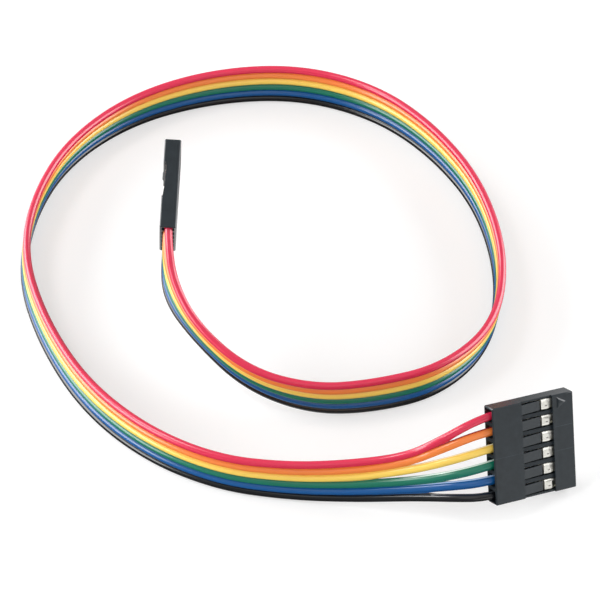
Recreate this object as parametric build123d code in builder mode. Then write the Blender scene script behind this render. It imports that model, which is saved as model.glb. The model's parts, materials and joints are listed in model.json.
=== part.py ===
from build123d import *
import os
from math import cos, pi, radians, sin, tan

# Six-wire jumper cable in millimetres, +Z up. The bonded ribbon stands on its edge and makes
# one and a quarter turns between two crimp housings. The origin is on the floor, in the middle
# of the area that the cable covers.

# Wires, from the ribbon's lower edge to its upper edge
wire_colours = ["black", "blue", "green", "yellow", "orange", "red"]
wire_diameter = 1.2
web_length = 0.07
wire_sides = 4
strand_diameter = 0.76
strand_sides = 6
bend_share = 0.45

# Housing: X runs from the wire entry to the mating face, Z is the window side
cell_pitch = 2.54
entry_block_length = 5.05
band_length = 5.35
front_block_length = 3.6
housing_thickness = 2.54
housing_chamfer = 0.15
cell_clearance = 0.08
front_wall = 0.8
pin_hole_width = 0.95
lead_in_width = 1.55
lead_in_depth = 0.35
lead_in_angle = 40
overrun = 0.5

# Window band across the housing, with one latch tongue for each cell
rib_drop = 0.15
tongue_width = 1.5
tongue_reach = 3.4
tongue_root = 0.4
tongue_thickness = 0.3
tongue_drop = 0.4
mark_radius = 1.05
mark_height = 0.2
mark_slope = 45
mark_gap = 0.7

# Crimp contact, in the housing's directions and about the cell's axis
sheet = 0.2
fit_gap = 0.03
jacket_crimp_start = 1.0
jacket_crimp_length = 1.5
jacket_inset = 2.3
wing_sides = 8
wing_slit = 0.36
strand_crimp_start = 3.0
strand_crimp_length = 2.0
strand_overhang = 0.2
spine_width = 1.0
spine_rise = 0.28
neck_width = 1.4
neck_height = 0.75
box_width = 1.8
box_height = 1.7
latch_gap = 0.2
tab_length = 1.3
tab_corner = 0.3
opening_length = 1.4
opening_depth = 0.5
leaf_width = 0.8
leaf_thickness = 0.15
leaf_drop = 0.42
leaf_lift = 0.2

# Where each housing lies: middle of its wire entry, then roll, pitch and yaw in degrees
outer_entry = (29.75, -42.82, 9.605)
outer_turn = (63.3, 10, 26.3)
inner_entry = (-19.1, -4.1, 17.0)
inner_turn = (-86, -32, 86.5)
wire_exit = 1.5

# Ribbon route from the outer to the inner housing. Each row is the X and Y of the ribbon's lower
# wire, the height of its underside over the floor, the ribbon's outward lean in degrees and the
# wires' spread about its middle.
ribbon_route = [
    (24.4, -46.0, 5.4, -26, 1.52),
    (18.6, -44.9, 2.7, -20, 1.1),
    (9.4, -43.8, 0.6, -12, 1.0),
    (-0.3, -42.8, 0.0, -3, 1.0),
    (-11.1, -40.8, 0.0, 1, 1.0),
    (-22.2, -34.8, 0.0, -1, 1.0),
    (-31.9, -24.7, 0.0, -2, 1.0),
    (-39.0, -10.8, 0.0, -3, 1.0),
    (-43.1, 3.6, 0.0, -6, 1.0),
    (-42.1, 17.6, 0.0, -10, 1.0),
    (-37.1, 30.6, 0.0, -12, 1.0),
    (-27.0, 40.8, 0.0, -8, 1.0),
    (-13.6, 46.3, 0.0, -2, 1.0),
    (0.7, 47.4, 0.0, 0, 1.0),
    (13.4, 42.6, 0.0, 1, 1.0),
    (23.0, 33.4, 0.0, -1, 1.0),
    (30.6, 19.8, 0.0, -1, 1.0),
    (33.4, 2.6, 0.0, 5, 1.0),
    (30.7, -12.0, 0.0, 11, 1.0),
    (22.9, -21.4, 0.0, 6, 1.0),
    (12.0, -25.1, 0.2, 5, 1.0),
    (2.5, -25.8, 0.9, 10, 1.0),
    (-7.0, -22.6, 2.8, 16, 1.0),
    (-14.8, -15.9, 6.0, 13, 1.0),
    (-19.4, -9.8, 9.3, -1, 1.2),
]

# Derived sizes
cells = len(wire_colours)
middle_cell = (cells - 1) / 2
wire_radius = wire_diameter / 2
wire_pitch = wire_diameter + web_length
strand_radius = strand_diameter / 2
jacket_bore = wire_radius + fit_gap
strand_bore = strand_radius + fit_gap
crimp_width = 2 * (jacket_bore + sheet) / cos(pi / wing_sides)
cavity_width = max(box_width, crimp_width) + 2 * cell_clearance
cavity_height = max(box_height, crimp_width) + 2 * cell_clearance
half_cavity = cavity_height / 2
housing_width = cells * cell_pitch
housing_length = entry_block_length + band_length + front_block_length
half_thickness = housing_thickness / 2
cavity_length = housing_length - front_wall
band_start = entry_block_length
band_middle = band_start + band_length / 2
band_end = band_start + band_length
band_floor = half_cavity - rib_drop
tongue_tip = band_start + tongue_reach
tongue_top = (half_cavity + half_thickness) / 2
box_start = tongue_tip + latch_gap
box_end = cavity_length - latch_gap
opening_start = box_start + tab_length
opening_end = opening_start + opening_length
spine_low = -jacket_bore - sheet
spine_start = jacket_crimp_start + jacket_crimp_length
cell_places = [(cell - middle_cell) * cell_pitch for cell in range(cells)]
outer_pose = Location(outer_entry, outer_turn, Extrinsic.XYZ)
inner_pose = Location(inner_entry, inner_turn, Extrinsic.XYZ)
# The ribbon's same face shows the windows at both ends, so the row of cells is turned round
end_poses = {"outer": (outer_pose, 1), "inner": (inner_pose, -1)}

os.makedirs("parts", exist_ok=True)


def save(builder, node):
    builder.part.label = node
    export_step(builder.part, f"parts/{node}.step")


# Housing, moulded in one piece
with BuildPart() as housing_shape:
    with BuildSketch(Plane.YZ):
        Rectangle(housing_width, housing_thickness)
    extrude(amount=housing_length)
    chamfer(housing_shape.edges(), housing_chamfer)
    # Cells, open at the wire end
    with BuildSketch(Plane.YZ):
        with GridLocations(cell_pitch, cell_pitch, cells, 1):
            Rectangle(cavity_width, cavity_height)
    extrude(amount=cavity_length, mode=Mode.SUBTRACT)
    # Pin holes in the mating face, with their tapered lead-ins
    with BuildSketch(Plane.YZ.offset(housing_length)):
        with GridLocations(cell_pitch, cell_pitch, cells, 1):
            Rectangle(pin_hole_width, pin_hole_width)
    extrude(amount=-front_wall - overrun, mode=Mode.SUBTRACT)
    with BuildSketch(Plane.YZ.offset(housing_length)):
        with GridLocations(cell_pitch, cell_pitch, cells, 1):
            Rectangle(lead_in_width, lead_in_width)
    extrude(amount=-lead_in_depth, taper=lead_in_angle, mode=Mode.SUBTRACT)
    # Window band, cut deep enough to open every cell and leave ribs between them
    with BuildSketch(Plane.XY.offset(band_floor)):
        with Locations((band_middle, 0)):
            Rectangle(band_length, housing_width + overrun)
    extrude(amount=housing_thickness, mode=Mode.SUBTRACT)
    # Latch tongues, which lean into the cells and stop behind the contacts
    with BuildSketch(*[Plane.XZ.offset(place) for place in cell_places]):
        with BuildLine():
            Polyline(
                (band_start - tongue_root, half_cavity),
                (band_start - tongue_root, tongue_top),
                (band_start, tongue_top),
                (tongue_tip, tongue_top - tongue_drop),
                (tongue_tip, tongue_top - tongue_drop - tongue_thickness),
                (band_start, tongue_top - tongue_thickness),
                close=True,
            )
        make_face()
    extrude(amount=tongue_width / 2, both=True)
    # Raised triangle with sloped sides that marks the first cell
    with BuildSketch(Plane.XY.offset(half_thickness)):
        with Locations((band_end + mark_gap + mark_radius / 2, cell_places[-1])):
            RegularPolygon(mark_radius, 3)
    extrude(amount=mark_height, taper=mark_slope)

# Crimp contact, stamped and folded from one strip
with BuildPart() as contact_shape:
    # Box that takes the pin
    with BuildSketch(Plane.YZ.offset(box_start)):
        Rectangle(box_width, box_height)
        Rectangle(box_width - 2 * sheet, box_height - 2 * sheet, mode=Mode.SUBTRACT)
    extrude(amount=box_end - box_start)
    # Opening in front of the tab that the latch tongue holds, with one side wall left standing
    with BuildSketch(Plane.XY.offset(box_height / 2 - opening_depth)):
        with BuildLine():
            Polyline(
                (opening_start - tab_corner, box_width / 2 - sheet),
                (opening_start, box_width / 2 - sheet - tab_corner),
                (opening_start, tab_corner - box_width / 2),
                (opening_start - tab_corner, -box_width / 2),
                (opening_start - tab_corner, -box_width / 2 - overrun),
                (opening_end, -box_width / 2 - overrun),
                (opening_end, box_width / 2 - sheet),
                close=True,
            )
        make_face()
    extrude(amount=opening_depth + overrun, mode=Mode.SUBTRACT)
    # Spring leaf, folded down from the box's top and up again towards the mouth
    leaf_root = opening_start - sheet
    leaf_top = box_height / 2 - sheet + leaf_thickness / 2
    with BuildSketch(Plane.XZ):
        with BuildLine():
            Polyline(
                (leaf_root, leaf_top),
                (opening_end, leaf_top - leaf_drop),
                (box_end - sheet, leaf_top - leaf_drop + leaf_lift),
                (box_end - sheet, leaf_top - leaf_drop + leaf_lift - leaf_thickness),
                (opening_end, leaf_top - leaf_drop - leaf_thickness),
                (leaf_root, leaf_top - leaf_thickness),
                close=True,
            )
        make_face()
    extrude(amount=leaf_width / 2, both=True)
    # Spine and open neck between the crimps and the box
    with BuildSketch(Plane.YZ.offset(spine_start)):
        with Locations((0, spine_low + spine_rise / 2)):
            Rectangle(spine_width, spine_rise)
    extrude(amount=box_start + sheet - spine_start)
    with BuildSketch(Plane.YZ.offset(strand_crimp_start + strand_crimp_length)):
        with Locations((0, spine_low + neck_height / 2)):
            Rectangle(neck_width, neck_height)
        with Locations((0, spine_low + spine_rise + neck_height / 2)):
            Rectangle(neck_width - 2 * sheet, neck_height, mode=Mode.SUBTRACT)
    extrude(amount=box_start + sheet - strand_crimp_start - strand_crimp_length)
    # Barrel round the bare strands
    with BuildSketch(Plane.YZ.offset(strand_crimp_start)):
        RegularPolygon(strand_bore + sheet, strand_sides, major_radius=False)
        RegularPolygon(strand_bore, strand_sides, major_radius=False, mode=Mode.SUBTRACT)
    extrude(amount=strand_crimp_length)
    # Wings round the jacket, with a slit where they meet
    with BuildSketch(Plane.YZ.offset(jacket_crimp_start)):
        RegularPolygon(jacket_bore + sheet, wing_sides, major_radius=False)
        RegularPolygon(jacket_bore, wing_sides, major_radius=False, mode=Mode.SUBTRACT)
        with Locations((0, jacket_bore + sheet)):
            Rectangle(wing_slit, 4 * sheet, mode=Mode.SUBTRACT)
    extrude(amount=jacket_crimp_length)

for end, (pose, order) in end_poses.items():
    with BuildPart() as housing:
        with Locations(pose):
            add(housing_shape.part)
    save(housing, f"{end}_housing")
    for colour, place in zip(wire_colours, cell_places):
        with BuildPart() as contact:
            with Locations(pose * Location((0, order * place, 0))):
                add(contact_shape.part)
        save(contact, f"{end}_contact_{colour}")


def end_point(end, depth, place):
    pose, order = end_poses[end]
    return (pose * Location((depth, order * place, 0))).position


def ribbon_points(wire):
    # The ribbon's width stays square to its run, upright but for the lean
    start = end_point("outer", -wire_exit, -middle_cell * wire_pitch)
    stop = end_point("inner", -wire_exit, -middle_cell * wire_pitch)
    edge = [Vector(x, y, lift + wire_radius) for x, y, lift, lean, spread in ribbon_route]
    runs = [start] + edge + [stop]
    points = []
    for row, (x, y, lift, lean, spread) in enumerate(ribbon_route):
        along = (runs[row + 2] - runs[row]).normalized()
        upright = along.cross(Vector(0, 0, 1)).cross(along).normalized()
        across = upright.rotate(Axis((0, 0, 0), along), -lean)
        rise = wire * wire_pitch + (spread - 1) * wire_pitch * (wire - middle_cell)
        points.append(edge[row] + across * rise)
    return points


def bend_radii(points):
    radii = []
    for before, corner, after in zip(points, points[1:], points[2:]):
        turn = (corner - before).get_angle(after - corner)
        shorter = min((corner - before).length, (after - corner).length)
        radii.append(bend_share * shorter / tan(radians(turn / 2)))
    return radii


# Insulated wires, each one cord from crimp to crimp
for wire, colour in enumerate(wire_colours):
    place = cell_places[wire]
    route = [end_point("outer", jacket_inset, place), end_point("outer", -wire_exit, place)]
    route += ribbon_points(wire)
    route += [end_point("inner", -wire_exit, place), end_point("inner", jacket_inset, place)]
    radii = bend_radii(route)
    with BuildPart() as cord:
        with BuildLine() as path:
            FilletPolyline(*route, radius=radii)
        # Corners above and below, so that neighbours meet edge to edge
        run = route[1] - route[0]
        upright = run.cross(Vector(0, 0, 1)).cross(run)
        with BuildSketch(Plane(origin=route[0], x_dir=upright, z_dir=run)):
            RegularPolygon(wire_radius, wire_sides)
        sweep(path=path.wires()[0])
    save(cord, f"wire_{colour}")
    section = wire_sides / 2 * wire_radius**2 * sin(2 * pi / wire_sides)
    volume_share = cord.part.volume / (section * path.wires()[0].length)
    print(f"wire_{colour}: length {path.wires()[0].length:.1f}, volume share {volume_share:.4f}")
    print("  bend radii", " ".join(f"{radius:.0f}" for radius in radii))
    # Bare strands past both ends of the jacket
    with BuildPart() as strands:
        for end, (pose, order) in end_poses.items():
            cell = pose * Location((0, order * cell_places[wire], 0))
            with BuildSketch(Plane(cell * Location(Plane.YZ.offset(jacket_inset)))):
                RegularPolygon(strand_radius, strand_sides)
            strand_end = strand_crimp_start + strand_crimp_length + strand_overhang
            extrude(amount=strand_end - jacket_inset)
    save(strands, f"strands_{colour}")
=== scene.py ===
import bpy
import json
import math
from mathutils import Euler, Matrix, Vector
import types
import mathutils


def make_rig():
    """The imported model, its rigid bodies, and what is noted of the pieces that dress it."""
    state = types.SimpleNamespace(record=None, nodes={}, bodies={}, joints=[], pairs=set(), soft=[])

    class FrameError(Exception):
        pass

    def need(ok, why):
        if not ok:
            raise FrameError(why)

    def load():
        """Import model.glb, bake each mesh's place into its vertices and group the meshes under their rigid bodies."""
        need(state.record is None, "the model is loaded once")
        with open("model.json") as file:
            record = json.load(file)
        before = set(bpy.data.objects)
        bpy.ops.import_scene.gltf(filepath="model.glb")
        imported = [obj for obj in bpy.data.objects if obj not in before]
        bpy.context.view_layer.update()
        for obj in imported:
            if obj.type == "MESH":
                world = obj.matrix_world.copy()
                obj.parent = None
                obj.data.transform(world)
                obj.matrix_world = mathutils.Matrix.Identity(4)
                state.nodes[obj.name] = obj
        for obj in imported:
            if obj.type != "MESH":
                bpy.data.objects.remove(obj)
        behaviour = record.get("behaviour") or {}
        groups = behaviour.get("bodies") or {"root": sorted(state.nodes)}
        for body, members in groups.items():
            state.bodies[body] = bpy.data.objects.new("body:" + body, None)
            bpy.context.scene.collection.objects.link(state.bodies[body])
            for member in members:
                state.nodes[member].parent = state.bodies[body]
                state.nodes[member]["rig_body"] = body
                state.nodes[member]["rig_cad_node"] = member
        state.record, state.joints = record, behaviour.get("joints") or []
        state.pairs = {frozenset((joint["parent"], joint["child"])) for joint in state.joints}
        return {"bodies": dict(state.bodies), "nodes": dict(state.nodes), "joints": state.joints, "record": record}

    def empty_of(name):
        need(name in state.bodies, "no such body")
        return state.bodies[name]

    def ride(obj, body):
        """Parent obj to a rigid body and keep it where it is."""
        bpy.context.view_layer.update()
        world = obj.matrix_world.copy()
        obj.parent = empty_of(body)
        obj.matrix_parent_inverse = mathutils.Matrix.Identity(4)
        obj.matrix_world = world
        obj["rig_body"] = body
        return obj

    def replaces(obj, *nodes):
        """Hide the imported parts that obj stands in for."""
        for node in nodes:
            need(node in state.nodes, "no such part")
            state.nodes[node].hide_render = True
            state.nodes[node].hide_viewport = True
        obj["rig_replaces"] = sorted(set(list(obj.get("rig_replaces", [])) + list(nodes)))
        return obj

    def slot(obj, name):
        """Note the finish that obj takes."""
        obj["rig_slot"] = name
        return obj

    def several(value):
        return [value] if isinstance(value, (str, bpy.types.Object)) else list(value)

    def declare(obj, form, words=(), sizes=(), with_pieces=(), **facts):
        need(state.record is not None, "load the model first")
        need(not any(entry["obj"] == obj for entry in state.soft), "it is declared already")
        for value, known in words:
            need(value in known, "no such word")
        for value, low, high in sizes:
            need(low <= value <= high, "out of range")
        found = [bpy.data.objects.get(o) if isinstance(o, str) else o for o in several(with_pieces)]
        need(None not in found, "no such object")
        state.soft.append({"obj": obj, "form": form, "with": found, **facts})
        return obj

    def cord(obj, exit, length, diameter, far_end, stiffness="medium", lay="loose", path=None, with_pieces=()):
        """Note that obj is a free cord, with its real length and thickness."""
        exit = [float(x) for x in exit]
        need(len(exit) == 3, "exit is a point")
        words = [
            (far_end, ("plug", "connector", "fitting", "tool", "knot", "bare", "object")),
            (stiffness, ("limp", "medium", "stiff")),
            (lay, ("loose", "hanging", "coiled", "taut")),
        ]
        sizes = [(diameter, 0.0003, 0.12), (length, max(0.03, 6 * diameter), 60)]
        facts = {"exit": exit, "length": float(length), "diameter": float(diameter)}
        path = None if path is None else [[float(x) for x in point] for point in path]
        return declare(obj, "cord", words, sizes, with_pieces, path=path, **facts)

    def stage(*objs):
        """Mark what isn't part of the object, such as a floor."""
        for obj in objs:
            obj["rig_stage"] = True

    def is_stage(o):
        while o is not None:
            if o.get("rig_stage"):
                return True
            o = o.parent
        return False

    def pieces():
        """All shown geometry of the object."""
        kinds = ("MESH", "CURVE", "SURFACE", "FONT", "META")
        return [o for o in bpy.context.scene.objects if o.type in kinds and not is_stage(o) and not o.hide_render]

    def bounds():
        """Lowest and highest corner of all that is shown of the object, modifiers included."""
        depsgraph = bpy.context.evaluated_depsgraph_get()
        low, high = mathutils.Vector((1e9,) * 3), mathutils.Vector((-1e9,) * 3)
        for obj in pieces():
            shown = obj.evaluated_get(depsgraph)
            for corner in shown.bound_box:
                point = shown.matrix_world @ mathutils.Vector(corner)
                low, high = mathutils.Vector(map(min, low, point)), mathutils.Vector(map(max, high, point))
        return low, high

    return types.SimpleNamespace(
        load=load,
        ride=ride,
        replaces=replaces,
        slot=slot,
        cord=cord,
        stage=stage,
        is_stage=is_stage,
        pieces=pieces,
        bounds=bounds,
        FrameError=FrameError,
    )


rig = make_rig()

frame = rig.load()
cadBox = [list(corner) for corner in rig.bounds()]
bpy.ops.object.select_all(action="DESELECT")
print("frame loaded with", len(frame["nodes"]), "nodes")

# where the two housings lie, as in the part: middle of the wire entry, then roll, pitch and yaw
housings = {
    "outer": {"entry": (0.02975, -0.04282, 0.009605), "turn": (63.3, 10, 26.3), "order": 1},
    "inner": {"entry": (-0.0191, -0.0041, 0.0170), "turn": (-86, -32, 86.5), "order": -1},
    "cellPitch": 0.00254,
}

# the ribbon's own values, in metres; a row is the lower wire's x, y, height of its underside over
# the floor, the ribbon's outward lean in degrees and the spread of the wires about its middle
ribbon = {
    "colours": ["black", "blue", "green", "yellow", "orange", "red"],
    "pitch": 0.00127,
    "radius": 0.0006,
    "exit": 0.0015,  # straight length outside the housing
    "inset": 0.0023,  # jacket inside the housing
    "splineOrder": 3,
    "splineSteps": 12,
    # shift of the wires towards the window side, just outside the inner housing
    "usualDrift": 0.0004,
    "drift": {"red": -0.0001},
    # shift of single wires across the ribbon where it fans out: outside the cell, then at the first rows
    "fan": {
        "black": (0.0, -0.0001, -0.00015),
        "blue": (-0.0001, 0.00005, -0.00012),
        "green": (-0.00035, -0.0002, -0.00025),
        "yellow": (-0.00030, 0.00015, 0.0002),
        "orange": (0.0, 0.00035, 0.0001),
        "red": (-0.0002, -0.0003, -0.0003),
    },
    "route": [
        (0.0244, -0.0460, 0.0054, -26, 1.52),
        (0.0186, -0.0449, 0.0027, -20, 1.1),
        (0.0094, -0.0438, 0.0006, -12, 1.0),
        (-0.0003, -0.0428, 0.0, -3, 1.0),
        (-0.0111, -0.0408, 0.0, 1, 1.0),
        (-0.0222, -0.0348, 0.0, -1, 1.0),
        (-0.0319, -0.0247, 0.0, -2, 1.0),
        (-0.0390, -0.0108, 0.0, -3, 1.0),
        (-0.0431, 0.0036, 0.0, -6, 1.0),
        (-0.0421, 0.0176, 0.0, -10, 1.0),
        (-0.0371, 0.0306, 0.0, -12, 1.0),
        (-0.0270, 0.0408, 0.0, -8, 1.0),
        (-0.0136, 0.0463, 0.0, -2, 1.0),
        (0.0007, 0.0474, 0.0, 0, 1.0),
        (0.0134, 0.0426, 0.0, 1, 1.0),
        (0.0230, 0.0334, 0.0, -1, 1.0),
        (0.0306, 0.0198, 0.0, -1, 1.0),
        (0.0334, 0.0026, 0.0, 5, 1.0),
        (0.0307, -0.0120, 0.0, 11, 1.0),
        (0.0229, -0.0214, 0.0, 6, 1.0),
        (0.0120, -0.0251, 0.0002, 5, 1.0),
        (0.0025, -0.0258, 0.0009, 10, 1.0),
        (-0.0070, -0.0226, 0.0028, 16, 1.0),
        (-0.0145, -0.0159, 0.0060, 16, 1.0),
        (-0.0193, -0.0098, 0.0093, -1, 1.2),
    ],
}
middleWire = (len(ribbon["colours"]) - 1) / 2


def poseOf(end):
    turn = Euler([math.radians(angle) for angle in housings[end]["turn"]], "XYZ")
    return Matrix.Translation(housings[end]["entry"]) @ turn.to_matrix().to_4x4()


def endPoint(end, depth, place, drift=0):
    return poseOf(end) @ Vector((depth, housings[end]["order"] * place, drift))


def wireRoute(wire):
    edge = [Vector((x, y, lift + ribbon["radius"])) for x, y, lift, _, _ in ribbon["route"]]
    lower = -middleWire * ribbon["pitch"]
    runs = [endPoint("outer", -ribbon["exit"], lower)] + edge + [endPoint("inner", -ribbon["exit"], lower)]
    cell = (wire - middleWire) * housings["cellPitch"]
    shifts = ribbon["fan"][ribbon["colours"][wire]]
    points = [endPoint("outer", ribbon["inset"], cell), endPoint("outer", -ribbon["exit"], cell + shifts[0])]
    for row, (_, _, _, lean, spread) in enumerate(ribbon["route"]):
        along = (runs[row + 2] - runs[row]).normalized()
        upright = along.cross(Vector((0, 0, 1))).cross(along).normalized()
        across = Matrix.Rotation(math.radians(-lean), 3, along) @ upright
        rise = wire * ribbon["pitch"] + (spread - 1) * ribbon["pitch"] * (wire - middleWire)
        if row + 1 < len(shifts):
            rise += shifts[row + 1]
        points.append(edge[row] + across * rise)
    drift = ribbon["drift"].get(ribbon["colours"][wire], ribbon["usualDrift"])
    points += [endPoint("inner", -ribbon["exit"], cell, drift), endPoint("inner", ribbon["inset"], cell)]
    return points


# camera at the photo's angle: 45 degrees down, looking along +Y
camera = {
    "target": (0.0014, -0.0004, 0),
    "distance": 0.6,
    "elevation": 45,
    "lens": 226.8,
    "sensor": 36,
    "clipStart": 0.01,
}
slope = math.radians(camera["elevation"])
back = Vector((0, -math.cos(slope), math.sin(slope)))
bpy.ops.object.camera_add(
    location=Vector(camera["target"]) + back * camera["distance"],
    rotation=(math.radians(90) - slope, 0, 0),
)
cameraObject = bpy.context.object
cameraObject.data.lens = camera["lens"]
cameraObject.data.sensor_width = camera["sensor"]
cameraObject.data.clip_start = camera["clipStart"]
bpy.context.scene.camera = cameraObject
print("camera set")


# sRGB hex to the linear values that the shader takes
def linear(hexColour):
    parts = [int(hexColour[i : i + 2], 16) / 255 for i in (1, 3, 5)]
    return [p / 12.92 if p <= 0.04045 else ((p + 0.055) / 1.055) ** 2.4 for p in parts] + [1]


# adds one node; an input is a value or the socket that feeds it
def addNode(tree, kind, inputs=None, **settings):
    made = tree.nodes.new(kind)
    for name, value in settings.items():
        setattr(made, name, value)
    for name, value in (inputs or {}).items():
        if isinstance(value, bpy.types.NodeSocket):
            tree.links.new(value, made.inputs[name])
        else:
            made.inputs[name].default_value = value
    return made


def newMaterial(name):
    material = bpy.data.materials.new(name)
    material.use_nodes = True
    return material, material.node_tree, material.node_tree.nodes["Principled BSDF"]


# extruded PVC: even pigment, soft gloss, faint drawn-out streaks along the wire
pvc = {
    "hues": {
        "black": "#0F1115",
        "blue": "#0A5494",
        "green": "#10725B",
        "yellow": "#F7D05C",
        "orange": "#F08238",
        "red": "#D8244A",
    },
    # the torn web along a wire's upper side, in its neighbour's colour on orange and whitened by the tear on the
    # others; on green and blue the near-white tone is also a painted highlight along the wire's top
    "torn": {
        "black": "#3A3E42",
        "blue": "#A9C6EC",
        "green": "#D5EEE6",
        "yellow": "#FBF0C0",
        "orange": "#A52A2C",
        "red": "#D8243F",
    },
    "streakShare": 0.12,
    "streakWidth": 0.00015,  # across the wire
    "streakLength": 0.012,
    "grain": 0.00012,  # orange peel of the extruded skin
    "grainDepth": 0.00002,
    "grainStrength": 0.12,
    "roughness": 0.22,
    "gloss": 0.9,
    "ior": 1.53,
}


def pvcMaterial(name, hue, tornAndHighlightHue=None):
    material, tree, shader = newMaterial(name)
    skin = addNode(tree, "ShaderNodeUVMap", uv_map="alongWire").outputs[0]
    drawn = {"Vector": skin, "Scale": (1 / pvc["streakWidth"], 1 / pvc["streakLength"], 1)}
    stretch = addNode(tree, "ShaderNodeMapping", drawn).outputs[0]
    noise = {"Vector": stretch, "Scale": 1, "Detail": 2}
    streak = addNode(tree, "ShaderNodeTexNoise", noise).outputs["Fac"]
    pigment = linear(hue)
    darker = [c * (1 - pvc["streakShare"]) for c in pigment[:3]] + [1]
    paler = [c * (1 + pvc["streakShare"]) for c in pigment[:3]] + [1]
    hues = {"Factor": streak, "A": darker, "B": paler}
    tint = addNode(tree, "ShaderNodeMix", hues, data_type="RGBA").outputs["Result"]
    place = addNode(tree, "ShaderNodeTexCoord").outputs["Object"]
    noise = {"Vector": place, "Scale": 1 / pvc["grain"]}
    grain = addNode(tree, "ShaderNodeTexNoise", noise).outputs["Fac"]
    relief = {"Height": grain, "Strength": pvc["grainStrength"], "Distance": pvc["grainDepth"]}
    bump = addNode(tree, "ShaderNodeBump", relief).outputs[0]
    # the torn ridge fades from the torn hue back to the pigment along the wire; its pale tone is partly a painted
    # highlight
    if tornAndHighlightHue:
        length = addNode(tree, "ShaderNodeSeparateXYZ", {"Vector": skin}).outputs["Y"]
        fade = {"From Min": jacket["paleLength"] - jacket["paleStart"], "From Max": jacket["paleLength"]}
        fade.update({"Value": length, "To Min": 1, "To Max": 0})
        paleShare = addNode(tree, "ShaderNodeMapRange", fade).outputs[0]
        hues = {"Factor": paleShare, "A": tint, "B": linear(tornAndHighlightHue)}
        tint = addNode(tree, "ShaderNodeMix", hues, data_type="RGBA").outputs["Result"]
    tree.links.new(tint, shader.inputs["Base Color"])
    tree.links.new(bump, shader.inputs["Normal"])
    shader.inputs["Roughness"].default_value = pvc["roughness"]
    shader.inputs["Specular IOR Level"].default_value = pvc["gloss"]
    shader.inputs["IOR"].default_value = pvc["ior"]
    return material


# the spline through a wire's route, read back as the points of its line
def wireLine(wire):
    curve = bpy.data.curves.new("route", "CURVE")
    curve.dimensions = "3D"
    curve.resolution_u = ribbon["splineSteps"]
    spline = curve.splines.new("NURBS")
    route = wireRoute(wire)
    spline.points.add(len(route) - 1)
    for point, place in zip(spline.points, route):
        point.co = (*place, 1)
    spline.order_u = ribbon["splineOrder"]
    spline.use_endpoint_u = True
    holder = bpy.data.objects.new("route", curve)
    line = bpy.data.meshes.new_from_object(holder)
    points = [vertex.co.copy() for vertex in line.vertices]
    bpy.data.objects.remove(holder)
    bpy.data.curves.remove(curve)
    bpy.data.meshes.remove(line)
    return points


# jackets: round, joined by a flat web as far as the ribbon is bonded, with a torn ridge beyond
jacket = {
    "webHalf": 0.00017,  # half the web's thickness
    "splitShares": [1.22, 1.18, 1.06, 1.03, 1.12],  # gap over pitch where each web is torn
    "tear": 0.16,  # growth of that share until the torn web has drawn back
    # height and half width of the ridge that a torn web leaves
    "ridge": {
        "black": 0.00006,
        "blue": 0.00013,
        "green": 0.00013,
        "yellow": 0.00006,
        "orange": 0.00006,
        "red": 0.00004,
    },
    "ridgeHalf": 0.00009,
    "crownShare": 3,  # how many times narrower than a web the flat on the ribbon's own edge is
    "arcSteps": 9,
    "smoothAngle": 40,
    "paleLength": 0.0165,  # from the wire's outer end
    "paleStart": 0.005,
}


def jacketSection(ridge, lowerGap, upperGap, lowerSplit, upperSplit):
    radius = ribbon["radius"]
    web = math.asin(jacket["webHalf"] / radius)

    def side(gap, split):
        if gap is None:
            crown = web / jacket["crownShare"]
            return radius * math.cos(crown), radius * math.sin(crown)
        drawn = min(max((gap / ribbon["pitch"] - split) / jacket["tear"], 0), 1)
        reach = (1 - drawn) * gap / 2 + drawn * (radius + ridge)
        return reach, (1 - drawn) * jacket["webHalf"] + drawn * jacket["ridgeHalf"]

    upper, upperHalf = side(upperGap, upperSplit)
    lower, lowerHalf = side(lowerGap, lowerSplit)
    steps = jacket["arcSteps"]
    arc = [web + (math.pi - 2 * web) * step / (steps - 1) for step in range(steps)]
    section = [(upper, upperHalf)]
    section += [(radius * math.cos(angle), radius * math.sin(angle)) for angle in arc]
    section += [(-lower, lowerHalf), (-lower, -lowerHalf)]
    section += [(radius * math.cos(angle), -radius * math.sin(angle)) for angle in reversed(arc)]
    section += [(upper, -upperHalf)]
    return section


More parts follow.
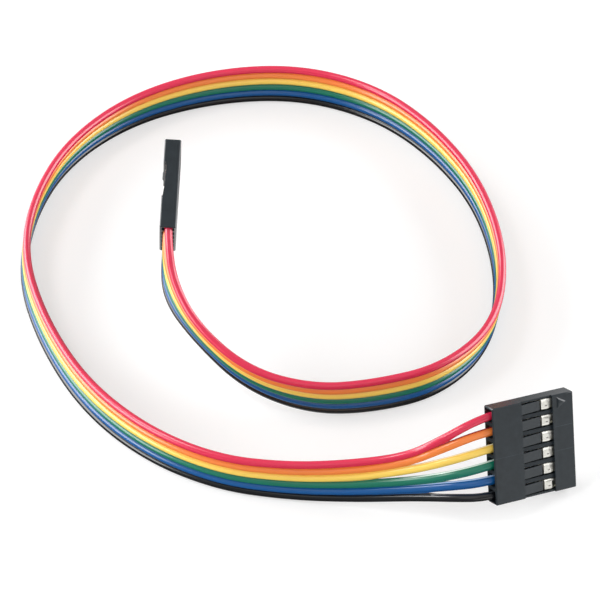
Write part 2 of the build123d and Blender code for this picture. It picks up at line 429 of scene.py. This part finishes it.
def makeWire(wire, lines):
    colour = ribbon["colours"][wire]
    line = lines[wire]
    below = lines[wire - 1] if wire > 0 else None
    above = lines[wire + 1] if wire + 1 < len(lines) else None
    verts, lengths = [], [0]
    for i, point in enumerate(line):
        along = (line[min(i + 1, len(line) - 1)] - line[max(i - 1, 0)]).normalized()
        across = (above or line)[i] - (below or line)[i]
        across = (across - along * across.dot(along)).normalized()
        out = along.cross(across)
        gaps = [(other[i] - point).length if other else None for other in (below, above)]
        splits = [jacket["splitShares"][k] if 0 <= k < len(lines) - 1 else 0 for k in (wire - 1, wire)]
        section = jacketSection(jacket["ridge"][colour], *gaps, *splits)
        verts += [point + across * s + out * q for s, q in section]
        if i:
            lengths.append(lengths[-1] + (point - line[i - 1]).length)
    ring = len(section)
    faces, uvs, tornFaces = [], [], []
    for i in range(len(line) - 1):
        isTorn = above and lengths[i] < jacket["paleLength"]
        tornSides = (0, ring - 2, ring - 1) if isTorn else ()
        for j in range(ring):
            k = (j + 1) % ring
            if j in tornSides:
                tornFaces.append(len(faces))
            faces.append((i * ring + j, i * ring + k, (i + 1) * ring + k, (i + 1) * ring + j))
            around = [2 * math.pi * ribbon["radius"] * step / ring for step in (j, j + 1)]
            uvs += [(around[0], lengths[i]), (around[1], lengths[i])]
            uvs += [(around[1], lengths[i + 1]), (around[0], lengths[i + 1])]
    for first in (0, (len(line) - 1) * ring):  # closed ends inside the crimps
        faces.append(tuple(range(first, first + ring)) if first else tuple(range(ring - 1, -1, -1)))
        uvs += [(0, lengths[-1] if first else 0)] * ring
    mesh = bpy.data.meshes.new("jacket_" + colour)
    mesh.from_pydata(verts, [], faces)
    skin = mesh.uv_layers.new(name="alongWire")
    for loop, place in zip(skin.data, uvs):
        loop.uv = place
    for face in tornFaces:
        mesh.polygons[face].material_index = 1
    piece = bpy.data.objects.new("jacket_" + colour, mesh)
    bpy.context.collection.objects.link(piece)
    bpy.ops.object.select_all(action="DESELECT")
    piece.select_set(True)
    bpy.context.view_layer.objects.active = piece
    bpy.ops.object.mode_set(mode="EDIT")
    bpy.ops.mesh.select_all(action="SELECT")
    bpy.ops.mesh.normals_make_consistent(inside=False)
    bpy.ops.object.mode_set(mode="OBJECT")
    bpy.ops.object.shade_smooth_by_angle(angle=math.radians(jacket["smoothAngle"]))
    hue, tornAndHighlightHue = pvc["hues"][colour], pvc["torn"][colour]
    piece.data.materials.append(pvcMaterial("pvc_" + colour, hue))
    piece.data.materials.append(pvcMaterial("torn_highlit_pvc_" + colour, hue, tornAndHighlightHue))
    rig.ride(piece, "root")
    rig.replaces(piece, "wire_" + colour)
    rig.slot(piece, "insulation_" + colour)
    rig.cord(
        piece,
        exit=line[0],
        length=lengths[-1],
        diameter=2 * ribbon["radius"],
        far_end="object",
        stiffness="medium",
        lay="coiled",
        path=line,
    )
    print("wire", colour, "length", round(lengths[-1], 4))


lines = [wireLine(wire) for wire in range(len(ribbon["colours"]))]
for wire in range(len(lines)):
    makeWire(wire, lines)


# how a CAD node's copy is finished, in metres and degrees
copyRules = {
    "merge": 0.000002,
    "flatAngle": 2,
    "foldSteps": 4,
    "edgeSteps": 2,
    "edgeAngle": 25,
    "sliver": 0.000001,
    "holeSides": 4,
    "smoothAngle": 35,
}


# a CAD node's copy with its faces joined and its edges rounded, which then stands for the node;
# folds are edges that get a larger rounding of their own, and a cutter is sunk into it and then removed
def roundedCopy(nodeName, pieceName, edge, material, slot, isFold=None, foldRadius=0, cutter=None):
    bpy.ops.object.select_all(action="DESELECT")
    source = frame["nodes"][nodeName]
    source.select_set(True)
    bpy.context.view_layer.objects.active = source
    bpy.ops.object.duplicate()
    piece = bpy.context.object
    piece.name = pieceName
    piece.data.name = pieceName
    for key in list(piece.keys()):
        del piece[key]
    bpy.ops.object.mode_set(mode="EDIT")
    bpy.ops.mesh.select_all(action="SELECT")
    bpy.ops.mesh.remove_doubles(threshold=copyRules["merge"])
    bpy.ops.mesh.dissolve_limited(angle_limit=math.radians(copyRules["flatAngle"]))
    if isFold:
        bpy.ops.mesh.select_all(action="DESELECT")
        bpy.ops.mesh.select_mode(type="EDGE")
        bpy.ops.object.mode_set(mode="OBJECT")
        for line in piece.data.edges:
            line.select = isFold([piece.data.vertices[v].co for v in line.vertices])
        bpy.ops.object.mode_set(mode="EDIT")
        bpy.ops.mesh.bevel(offset=foldRadius, segments=copyRules["foldSteps"], affect="EDGES")
    bpy.ops.object.mode_set(mode="OBJECT")
    rounding = piece.modifiers.new("rounding", "BEVEL")
    rounding.width = edge
    rounding.segments = copyRules["edgeSteps"]
    rounding.limit_method = "ANGLE"
    rounding.angle_limit = math.radians(copyRules["edgeAngle"])
    bpy.ops.object.modifier_apply(modifier="rounding")
    if cutter:
        dent = piece.modifiers.new("dent", "BOOLEAN")
        dent.operation = "DIFFERENCE"
        dent.object = cutter
        bpy.ops.object.modifier_apply(modifier="dent")
    # slivers that the rounding and the cut leave
    bpy.ops.object.mode_set(mode="EDIT")
    bpy.ops.mesh.select_all(action="SELECT")
    bpy.ops.mesh.remove_doubles(threshold=copyRules["sliver"])
    bpy.ops.mesh.dissolve_degenerate(threshold=copyRules["sliver"])
    bpy.ops.mesh.select_all(action="SELECT")
    bpy.ops.mesh.fill_holes(sides=copyRules["holeSides"])
    bpy.ops.object.mode_set(mode="OBJECT")
    if cutter:
        bpy.data.objects.remove(cutter)
        bpy.ops.object.shade_flat()
    else:
        bpy.ops.object.shade_smooth_by_angle(angle=math.radians(copyRules["smoothAngle"]))
        piece.modifiers.new("flats", "WEIGHTED_NORMAL").keep_sharp = True  # flat faces stay flat to the eye
        bpy.ops.object.modifier_apply(modifier="flats")
    piece.data.materials.clear()
    piece.data.materials.append(material)
    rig.ride(piece, "root")
    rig.replaces(piece, nodeName)
    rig.slot(piece, slot)
    return piece


# glass-filled polyamide, moulded against a fine eroded tool: charcoal, satin, faintly mottled, with thin weld lines
# where the flow met; the ribs between the windows get less gloss, a painted shade of their recess
polyamide = {
    "hue": "#1E2428",
    "paler": "#293035",
    "mottle": 0.0011,
    "grain": 0.00009,
    "grainDepth": 0.00002,
    "grainStrength": 0.25,
    "roughness": 0.22,
    "ior": 1.53,
    "edge": 0.00005,
    "gloss": 0.5,
    # less gloss on the ribs: painted shade of their recess between the tongues
    "ribShadeGloss": 0.35,
    "ribHalf": 0.0003,
    "ribFloor": 0.0006,  # faces lower than this are inside the cells
    "band": (0.00505, 0.0104),  # start and end of the windows
    "weldHue": "#3A434A",
    "weldHalf": 0.00004,
    # welds: start and end along the housing, place across it
    "welds": [(0, 0.00505, -0.0003), (0.0104, 0.014, 0.0026), (0.0104, 0.014, -0.0012)],
}


def polyamideMaterial(name, end, gloss):
    material, tree, shader = newMaterial(name)
    place = addNode(tree, "ShaderNodeTexCoord").outputs["Object"]
    turn = [math.radians(angle) for angle in housings[end]["turn"]]
    own = {"Vector": place, "Location": housings[end]["entry"], "Rotation": turn}
    local = addNode(tree, "ShaderNodeMapping", own, vector_type="TEXTURE").outputs[0]
    parts = addNode(tree, "ShaderNodeSeparateXYZ", {"Vector": local}).outputs
    noise = {"Vector": place, "Scale": 1 / polyamide["mottle"], "Detail": 3}
    mottle = addNode(tree, "ShaderNodeTexNoise", noise).outputs["Fac"]
    hues = {"Factor": mottle, "A": linear(polyamide["hue"]), "B": linear(polyamide["paler"])}
    tint = addNode(tree, "ShaderNodeMix", hues, data_type="RGBA").outputs["Result"]
    for start, stop, line in polyamide["welds"]:
        stretch = {0: parts["X"], 1: (start + stop) / 2, 2: (stop - start) / 2}
        inside = addNode(tree, "ShaderNodeMath", stretch, operation="COMPARE").outputs[0]
        strip = {0: parts["Y"], 1: line, 2: polyamide["weldHalf"]}
        seam = addNode(tree, "ShaderNodeMath", strip, operation="COMPARE").outputs[0]
        weld = addNode(tree, "ShaderNodeMath", {0: inside, 1: seam}, operation="MULTIPLY").outputs[0]
        faint = addNode(tree, "ShaderNodeMath", {0: weld, 1: mottle}, operation="MULTIPLY").outputs[0]
        hues = {"Factor": faint, "A": tint, "B": linear(polyamide["weldHue"])}
        tint = addNode(tree, "ShaderNodeMix", hues, data_type="RGBA").outputs["Result"]
    noise = {"Vector": place, "Scale": 1 / polyamide["grain"], "Detail": 2}
    grain = addNode(tree, "ShaderNodeTexNoise", noise).outputs["Fac"]
    relief = {"Height": grain, "Strength": polyamide["grainStrength"], "Distance": polyamide["grainDepth"]}
    bump = addNode(tree, "ShaderNodeBump", relief).outputs[0]
    tree.links.new(tint, shader.inputs["Base Color"])
    tree.links.new(bump, shader.inputs["Normal"])
    shader.inputs["Specular IOR Level"].default_value = gloss
    shader.inputs["Roughness"].default_value = polyamide["roughness"]
    shader.inputs["IOR"].default_value = polyamide["ior"]
    return material


for end in ("outer", "inner"):
    satin = polyamideMaterial("moulded_polyamide_" + end, end, polyamide["gloss"])
    moulding = roundedCopy(end + "_housing", "moulding_" + end, polyamide["edge"], satin, "housing")
    # the ribs between the windows take a copy with less gloss: painted shade of their recess
    moulding.data.materials.append(polyamideMaterial("rib_shade_polyamide_" + end, end, polyamide["ribShadeGloss"]))
    toHousing = poseOf(end).inverted()
    pitch = housings["cellPitch"]
    start, stop = polyamide["band"]
    for face in moulding.data.polygons:
        middle = toHousing @ face.center
        rib = round(middle.y / pitch)
        inBand = start < middle.x < stop and middle.z > polyamide["ribFloor"]
        betweenCells = abs(rib) * 2 < len(ribbon["colours"])
        if inBand and betweenCells and abs(middle.y - rib * pitch) < polyamide["ribHalf"]:
            face.material_index = 1
print("housings dressed")

# bright tin plate over stamped bronze: pale, mirror-like, with faint rolling streaks
tin = {
    "hue": "#F6F4EC",
    "streak": 0.0004,
    "roughness": (0.224, 0.448),  # from streak to streak
    "edge": 0.00004,
    "boxHalf": (0.0009, 0.00085),  # half width and half height of the folded box
    "fold": 0.0004,
    "near": 0.00002,  # how near to the box's edges a fold is taken to lie
    "dent": (0.0095, -0.00022),  # middle of the slot in the tab: along, and across from the cell's middle
    "dentSize": (0.00036, 0.00013, 0.0006),  # half of its height is sunk in, through the sheet
}


def tinMaterial():
    material, tree, shader = newMaterial("tin_plate")
    place = addNode(tree, "ShaderNodeTexCoord").outputs["Object"]
    noise = {"Vector": place, "Scale": 1 / tin["streak"], "Detail": 2}
    streak = addNode(tree, "ShaderNodeTexNoise", noise).outputs["Fac"]
    limits = {"To Min": tin["roughness"][0], "To Max": tin["roughness"][1]}
    rough = addNode(tree, "ShaderNodeMapRange", {"Value": streak, **limits}).outputs[0]
    tree.links.new(rough, shader.inputs["Roughness"])
    shader.inputs["Base Color"].default_value = linear(tin["hue"])
    shader.inputs["Metallic"].default_value = 1
    return material


# tinned copper strands, twisted: dull silver with fine slanting grooves
copper = {
    "hue": "#CFC8BB",
    "groove": 0.00013,
    "grooveDepth": 0.00003,
    "grooveStrength": 0.6,
    "wave": 0.3,  # roughly the width of a wave at a scale of 1
    "roughness": 0.4,
}


def copperMaterial():
    material, tree, shader = newMaterial("tinned_copper")
    place = addNode(tree, "ShaderNodeTexCoord").outputs["Object"]
    wave = {"Vector": place, "Scale": copper["wave"] / copper["groove"]}
    twist = addNode(tree, "ShaderNodeTexWave", wave, bands_direction="DIAGONAL").outputs["Fac"]
    relief = {"Height": twist, "Strength": copper["grooveStrength"], "Distance": copper["grooveDepth"]}
    bump = addNode(tree, "ShaderNodeBump", relief).outputs[0]
    tree.links.new(bump, shader.inputs["Normal"])
    shader.inputs["Base Color"].default_value = linear(copper["hue"])
    shader.inputs["Metallic"].default_value = 1
    shader.inputs["Roughness"].default_value = copper["roughness"]
    return material


copperShared = copperMaterial()
for colour in ribbon["colours"]:
    strands = frame["nodes"]["strands_" + colour]
    strands.data.materials.clear()
    strands.data.materials.append(copperShared)

tinShared = tinMaterial()
for end in ("outer", "inner"):
    toHousing = poseOf(end).inverted()
    for wire, colour in enumerate(ribbon["colours"]):
        middle = (wire - middleWire) * housings["cellPitch"] * housings[end]["order"]

        def isFold(ends):
            local = [toHousing @ place - Vector((0, middle, 0)) for place in ends]
            across = all(abs(abs(place.y) - tin["boxHalf"][0]) < tin["near"] for place in local)
            level = all(abs(place.z - tin["boxHalf"][1]) < tin["near"] for place in local)
            return across and level and local[0].y * local[1].y > 0

        bpy.ops.mesh.primitive_cube_add(size=1)
        cutter = bpy.context.object
        sunk = Matrix.Translation((tin["dent"][0], middle + tin["dent"][1], tin["boxHalf"][1]))
        cutter.matrix_world = poseOf(end) @ sunk @ Matrix.Diagonal((*tin["dentSize"], 1))
        name = end + "_contact_" + colour
        pieceName = "terminal_" + end + "_" + colour
        roundedCopy(name, pieceName, tin["edge"], tinShared, "contact", isFold, tin["fold"], cutter)
print("contacts dressed")

# pale sweep of paper under and behind, and a white room round it
studio = {
    "floorHue": "#C8C8C8",
    # the paper's colour as seen in reflections, darker than to the camera: painted shade
    "mirroredHue": "#606060",
    "paperRoughness": 0.9,
    "floorSize": 6,
    "lift": 0.46,  # the paper's own glow, as the camera sees it
    # the paper's glow in reflections only, beside the part near the boxes: a painted glow that puts sheen on the wires
    "mirrored": 1.0,  # the paper beside the part, near the boxes
    "mirroredFrom": 0.032,
    "mirroredTo": 0.052,
    # the same painted glow in reflections only, in the middle of the coil
    "mirroredInside": 0.7,  # the paper in the middle of the coil
    "insideRadius": 0.022,
    "insideFade": 0.0308,
    "tent": (0.14, 0.5),  # the room as mirrored, in front and behind
    "fill": (1.0, 0.05),  # the room as it lights, in front and behind
    "frontHeading": -0.8,
}


# strength by kind of ray: seen by the camera, mirrored in or seen through a surface, or lighting it
def strengthByRay(tree, seen, mirrored, lighting):
    path = addNode(tree, "ShaderNodeLightPath").outputs
    kinds = {0: path["Is Glossy Ray"], 1: path["Is Transmission Ray"]}
    gloss = addNode(tree, "ShaderNodeMath", kinds, operation="MAXIMUM").outputs[0]
    other = addNode(tree, "ShaderNodeMix", {"Factor": gloss, "A": lighting, "B": mirrored}).outputs[0]
    direct = {"Factor": path["Is Camera Ray"], "A": other, "B": seen}
    return addNode(tree, "ShaderNodeMix", direct).outputs[0]


bpy.ops.mesh.primitive_plane_add(size=studio["floorSize"])
floor = bpy.context.object
floor.name = "floor"
paper, tree, shader = newMaterial("white_paper")
paperAt = addNode(tree, "ShaderNodeTexCoord").outputs["Object"]
paperX = addNode(tree, "ShaderNodeSeparateXYZ", {"Vector": paperAt}).outputs["X"]
aside = addNode(tree, "ShaderNodeMath", {0: paperX}, operation="ABSOLUTE").outputs[0]
limits = {"From Min": studio["mirroredFrom"], "From Max": studio["mirroredTo"]}
limits.update({"Value": aside, "To Min": 0, "To Max": studio["mirrored"]})
bright = addNode(tree, "ShaderNodeMapRange", limits).outputs[0]
fromMiddle = addNode(tree, "ShaderNodeVectorMath", {0: paperAt}, operation="LENGTH").outputs["Value"]
limits = {"From Min": studio["insideRadius"], "From Max": studio["insideFade"]}
limits.update({"Value": fromMiddle, "To Min": studio["mirroredInside"], "To Max": 0})
inside = addNode(tree, "ShaderNodeMapRange", limits).outputs[0]
both = addNode(tree, "ShaderNodeMath", {0: bright, 1: inside}, operation="ADD").outputs[0]
# the paper glows evenly to the camera; in reflections it glows only beside the part and inside the coil, as painted
# glow and not a lamp
glow = strengthByRay(tree, studio["lift"], both, 0)
tree.links.new(glow, shader.inputs["Emission Strength"])
# darker paper in reflections: painted shade of the floor round the part
inGloss = addNode(tree, "ShaderNodeLightPath").outputs["Is Glossy Ray"]
hues = {"Factor": inGloss, "A": linear(studio["floorHue"]), "B": linear(studio["mirroredHue"])}
paperTint = addNode(tree, "ShaderNodeMix", hues, data_type="RGBA").outputs["Result"]
tree.links.new(paperTint, shader.inputs["Base Color"])
shader.inputs["Emission Color"].default_value = linear("#FFFFFF")
shader.inputs["Roughness"].default_value = studio["paperRoughness"]
shader.inputs["Specular IOR Level"].default_value = 0
floor.data.materials.append(paper)
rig.stage(floor)

world = bpy.data.worlds.new("white_room")
bpy.context.scene.world = world
world.use_nodes = True
room = world.node_tree
background = room.nodes["Background"]
# the tent is open at the front: its mirror image is dimmer there, and its light comes mostly from there
heading = addNode(room, "ShaderNodeTexCoord").outputs["Generated"]
toBack = addNode(room, "ShaderNodeSeparateXYZ", {"Vector": heading}).outputs["Y"]
levels = []
for front, rear in (studio["tent"], studio["fill"]):
    limits = {"From Min": studio["frontHeading"], "From Max": 0, "To Min": front, "To Max": rear}
    levels.append(addNode(room, "ShaderNodeMapRange", {"Value": toBack, **limits}).outputs[0])
room.links.new(strengthByRay(room, 1, *levels), background.inputs["Strength"])
background.inputs["Color"].default_value = linear("#FFFFFF")

# soft boxes: a long low one at each side, a small one overhead and a faint one for the front
softBoxes = {
    "leftBox": {"place": (-0.62, 0.09, 0.23), "size": (1.16, 0.46), "watts": 8.2},
    "rightBox": {"place": (0.60, 0.16, 0.24), "size": (0.90, 0.50), "watts": 5.6},
    "topBox": {"place": (-0.28, 0.00, 0.50), "size": (0.16, 0.16), "watts": 0.65},
    "frontBox": {"place": (0.10, -0.45, 0.50), "size": (0.50, 0.50), "watts": 0.3},
}
for name, box in softBoxes.items():
    aim = (-Vector(box["place"])).to_track_quat("-Z", "Y").to_euler()
    bpy.ops.object.light_add(type="AREA", location=box["place"], rotation=aim)
    lamp = bpy.context.object
    lamp.name = name
    lamp.visible_camera = False
    lamp.data.shape = "RECTANGLE"
    lamp.data.size, lamp.data.size_y = box["size"]
    lamp.data.energy = box["watts"]
bpy.context.scene.view_settings.view_transform = "Standard"
print("studio lit")

visualBox = [list(corner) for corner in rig.bounds()]
with open("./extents.json", "w") as sizes:
    json.dump({"cad": cadBox, "visual": visualBox}, sizes)
print("boxes written")
